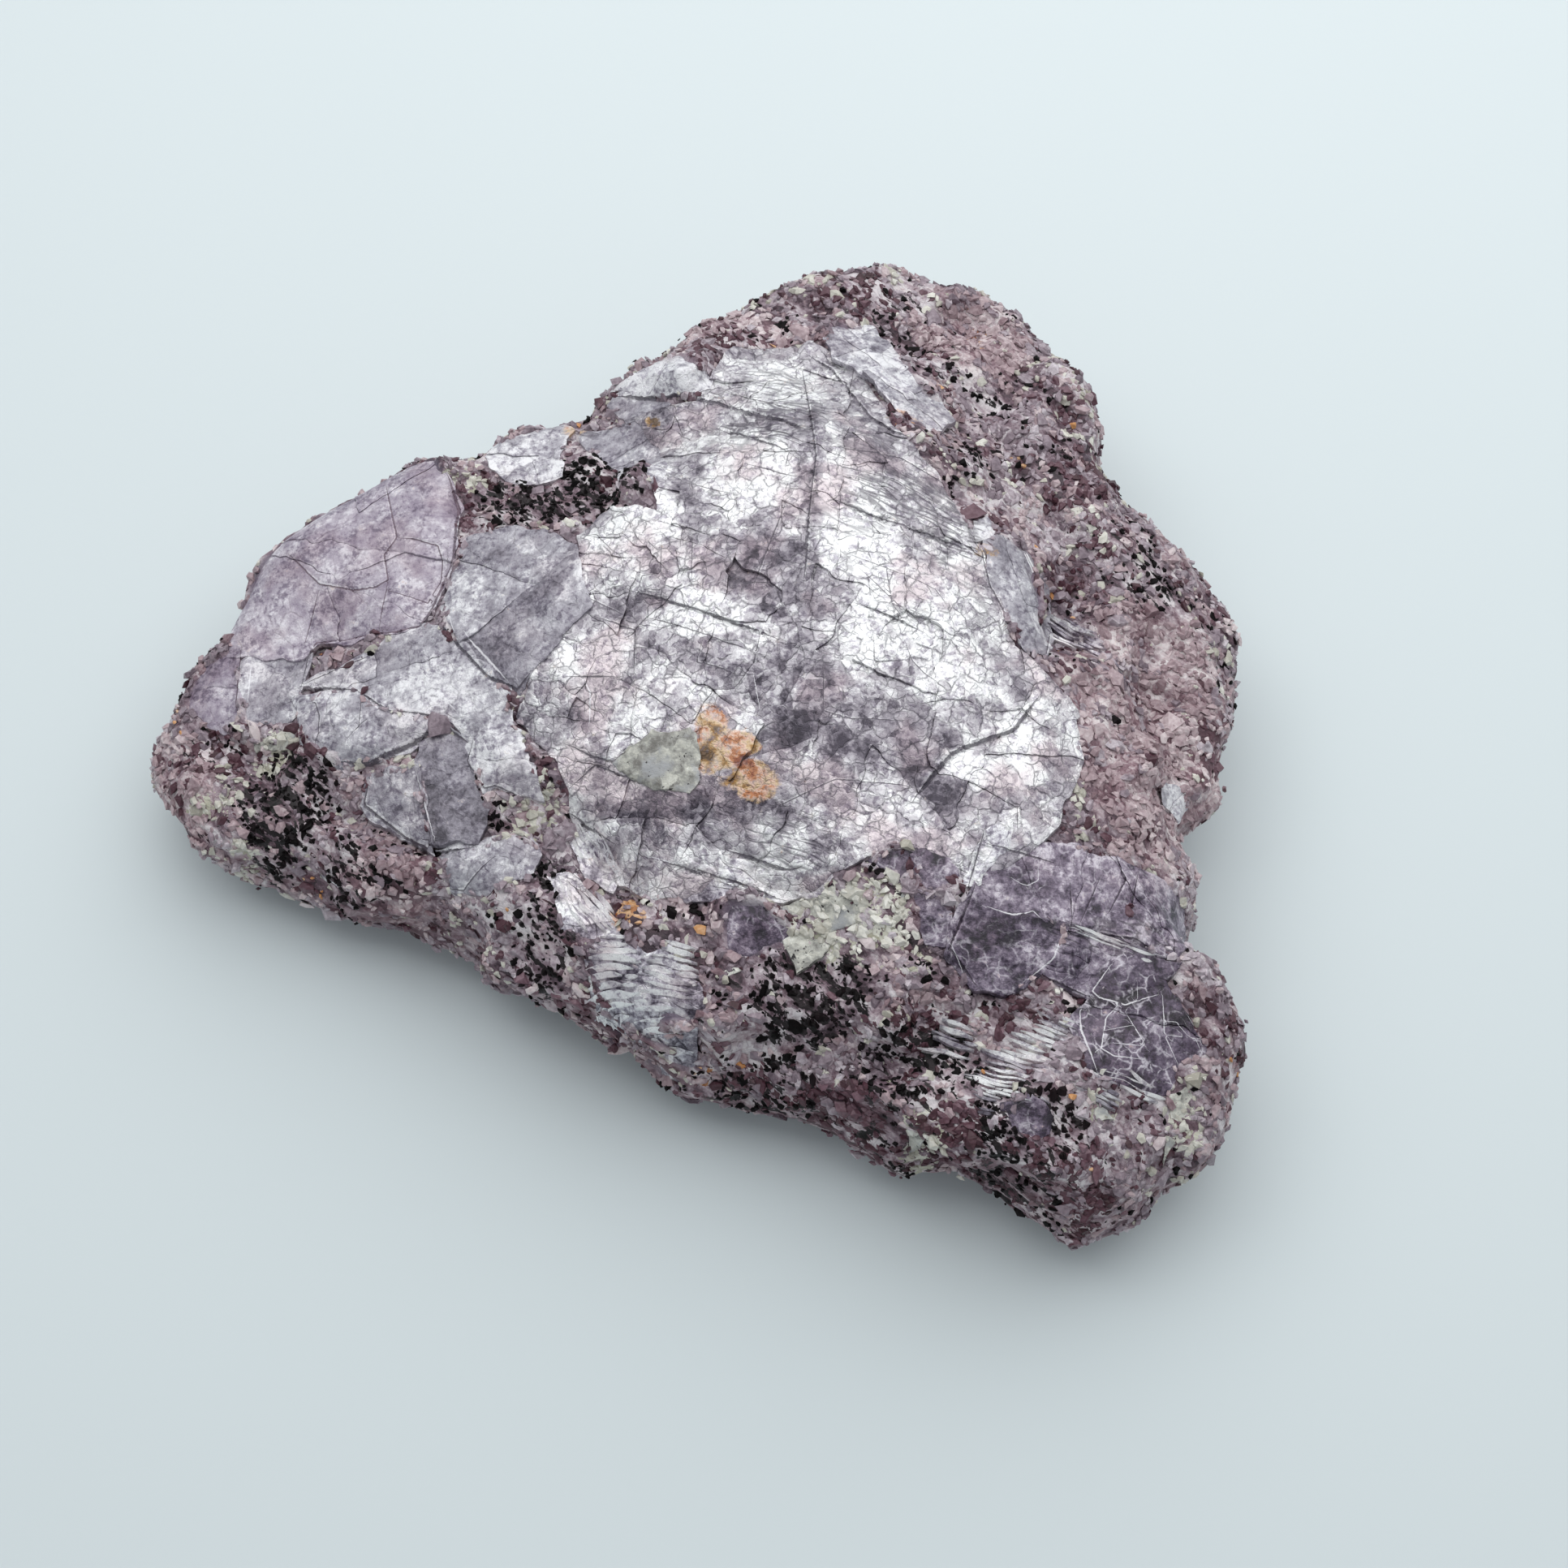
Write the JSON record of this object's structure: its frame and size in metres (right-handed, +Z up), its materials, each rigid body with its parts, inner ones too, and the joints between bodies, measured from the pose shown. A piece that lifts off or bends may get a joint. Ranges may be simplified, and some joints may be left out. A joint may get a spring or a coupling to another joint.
{
  "type": "mica crystal specimen",
  "caption": "Hand-sized lump of lilac lepidolite mica: pearly cleavage sheets and book edges over granular rock, on a flat resting face.",
  "frame": {"origin": "middle of the stone's box in plan, at the level of the face it rests on", "axes": "+Z up from the resting face; +X east towards the granular end, away from the narrow west tip; +Y north, away from the low speckled slope"},
  "size_m": [0.0922, 0.0888, 0.0247],
  "materials": {
    "lepidolite": "natural broken rock: pearly, silvery lilac cleavage sheets, sugary mauve grains, black and plum specks, cream and rust-stained patches"
  },
  "bodies": {
    "root": {"mica_specimen": "lepidolite"}
  },
  "joints": []
}
